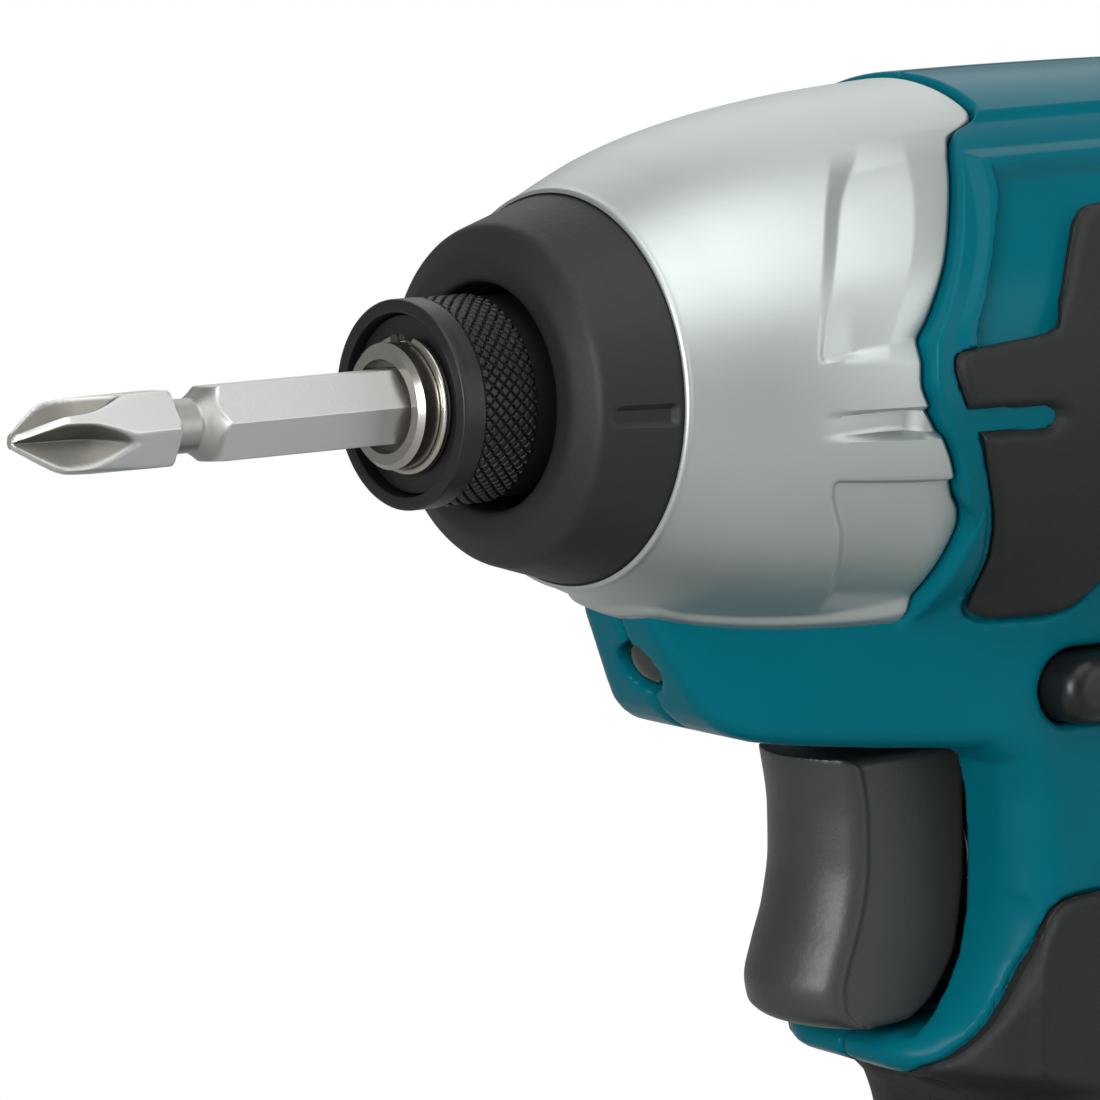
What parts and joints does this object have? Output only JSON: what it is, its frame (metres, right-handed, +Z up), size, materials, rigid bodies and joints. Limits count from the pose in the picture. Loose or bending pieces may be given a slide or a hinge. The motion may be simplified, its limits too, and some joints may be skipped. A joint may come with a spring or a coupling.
{
  "type": "impact driver",
  "caption": "Cordless impact driver with a hexagon screwdriver bit, cast hammer case, pistol grip and slide-on battery; it drives screws with rotary blows.",
  "frame": {"origin": "centre of the battery's flat underside, on which the tool stands", "axes": "+X along the bit, +Y to the tool's left, +Z up"},
  "size_m": [0.1825, 0.075, 0.2387],
  "materials": {
    "teal_plastic": "moulded, fine satin grain",
    "soft_grip": "overmoulded soft elastomer, matt",
    "case_aluminium": "die cast, shot blasted",
    "bit_steel": "bead blasted tool steel",
    "bright_steel": "ground steel",
    "dark_steel": "hardened, oiled",
    "black_steel": "black oxide, knurled",
    "bumper_rubber": "moulded rubber, matt",
    "trigger_plastic": "moulded, satin",
    "black_plastic": "moulded, satin",
    "bronze": "sintered",
    "brass_fitting": "turned",
    "copper_wire": "lacquered windings",
    "ferrite": "sintered magnet",
    "grey_casting": "die cast",
    "clear_lens": "clear moulded lens",
    "green_board": "circuit board",
    "lead_sleeve": "insulated leads",
    "cell_wrap": "shrink wrap",
    "battery_plastic": "moulded, grained",
    "button_plastic": "moulded, satin"
  },
  "bodies": {
    "housing": {"nose_bumper": "bumper_rubber", "hammer_case": "case_aluminium", "anvil_bush": "bronze", "thrust_washer": "bronze", "ring_gear": "dark_steel", "gear_case": "grey_casting", "spindle_bearing": "bright_steel", "front_bearing": "bright_steel", "rear_bearing": "bright_steel", "stator_can": "dark_steel", "stator_magnets": "ferrite", "brush_holder": "black_plastic", "carbon_brushes": "ferrite", "housing_left": "teal_plastic", "housing_right": "teal_plastic", "rear_cover": "teal_plastic", "rear_cover_screws": "dark_steel", "side_grip_left": "soft_grip", "side_grip_right": "soft_grip", "handle_grip_left": "soft_grip", "handle_grip_right": "soft_grip", "trigger_spring": "bright_steel", "switch_body": "black_plastic", "led_lens": "clear_lens", "led_board": "green_board", "battery_leads": "lead_sleeve", "terminal_block": "black_plastic", "terminal_blades": "brass_fitting", "housing_screws": "dark_steel", "hook_inserts": "brass_fitting"},
    "trigger": {"trigger": "trigger_plastic"},
    "reverse_lever": {"reverse_lever": "black_plastic"},
    "anvil": {"anvil": "bright_steel", "screwdriver_bit": "bit_steel", "detent_balls": "bright_steel", "sleeve_snap_ring": "bright_steel", "sleeve_washer": "black_steel", "sleeve_spring": "bright_steel"},
    "bit_sleeve": {"bit_sleeve": "black_steel"},
    "spindle": {"spindle": "bright_steel", "planet_pins": "bright_steel", "cam_balls": "bright_steel", "hammer_spring": "bright_steel"},
    "hammer": {"hammer": "dark_steel", "spring_washer": "bright_steel"},
    "planet_gear_1": {"planet_gear_1": "dark_steel"},
    "planet_gear_2": {"planet_gear_2": "dark_steel"},
    "planet_gear_3": {"planet_gear_3": "dark_steel"},
    "rotor": {"motor_shaft": "bright_steel", "rotor_core": "dark_steel", "rotor_windings": "copper_wire", "commutator": "copper_wire", "motor_fan": "black_plastic"},
    "battery": {"battery_lower_case": "battery_plastic", "battery_upper_case": "battery_plastic", "battery_cells": "cell_wrap", "battery_board": "green_board", "button_spring": "bright_steel", "battery_screws": "dark_steel"},
    "battery_button": {"battery_button": "button_plastic"}
  },
  "joints": [
    {"name": "trigger_pull", "type": "slide", "parent": "housing", "child": "trigger", "axis": [-1, 0, 0], "range_m": [0, 0.007], "stiffness_N_per_m": 500, "springref_m": -0.006, "deforming": ["trigger_spring"]},
    {"name": "reverse_shift", "type": "slide", "parent": "housing", "child": "reverse_lever", "axis": [0, 1, 0], "range_m": [-0.0025, 0.0025]},
    {"name": "spindle_spin", "type": "hinge", "parent": "housing", "child": "spindle", "pos_m": [0, 0, 0.212], "axis": [1, 0, 0], "continuous": true},
    {"name": "anvil_spin", "type": "hinge", "parent": "housing", "child": "anvil", "pos_m": [0, 0, 0.212], "axis": [1, 0, 0], "continuous": true},
    {"name": "rotor_spin", "type": "hinge", "parent": "housing", "child": "rotor", "pos_m": [0, 0, 0.212], "axis": [1, 0, 0], "continuous": true},
    {"name": "hammer_recoil", "type": "slide", "parent": "spindle", "child": "hammer", "axis": [-1, 0, 0], "range_m": [0, 0.008], "stiffness_N_per_m": 6000, "springref_m": -0.004, "deforming": ["hammer_spring"]},
    {"name": "sleeve_pull", "type": "slide", "parent": "anvil", "child": "bit_sleeve", "axis": [1, 0, 0], "range_m": [0, 0.0045], "stiffness_N_per_m": 1500, "springref_m": -0.004, "deforming": ["sleeve_spring"]},
    {"name": "battery_slide", "type": "slide", "parent": "housing", "child": "battery", "axis": [1, 0, 0], "range_m": [0, 0.08]},
    {"name": "button_press", "type": "slide", "parent": "battery", "child": "battery_button", "axis": [0, 0, -1], "range_m": [0, 0.003], "stiffness_N_per_m": 800, "springref_m": -0.003, "deforming": ["button_spring"]},
    {"name": "planet_spin_1", "type": "hinge", "parent": "spindle", "child": "planet_gear_1", "pos_m": [0.02, 0.0108, 0.212], "axis": [1, 0, 0], "continuous": true},
    {"name": "planet_spin_2", "type": "hinge", "parent": "spindle", "child": "planet_gear_2", "pos_m": [0.02, -0.0054, 0.20265], "axis": [1, 0, 0], "continuous": true},
    {"name": "planet_spin_3", "type": "hinge", "parent": "spindle", "child": "planet_gear_3", "pos_m": [0.02, -0.0054, 0.22135], "axis": [1, 0, 0], "continuous": true}
  ],
  "couplings": [
    {"joint": "rotor_spin", "follows": "spindle_spin", "ratio": 6},
    {"joint": "anvil_spin", "follows": "spindle_spin", "ratio": 1},
    {"joint": "planet_spin_1", "follows": "spindle_spin", "ratio": -2.5},
    {"joint": "planet_spin_2", "follows": "spindle_spin", "ratio": -2.5},
    {"joint": "planet_spin_3", "follows": "spindle_spin", "ratio": -2.5}
  ]
}
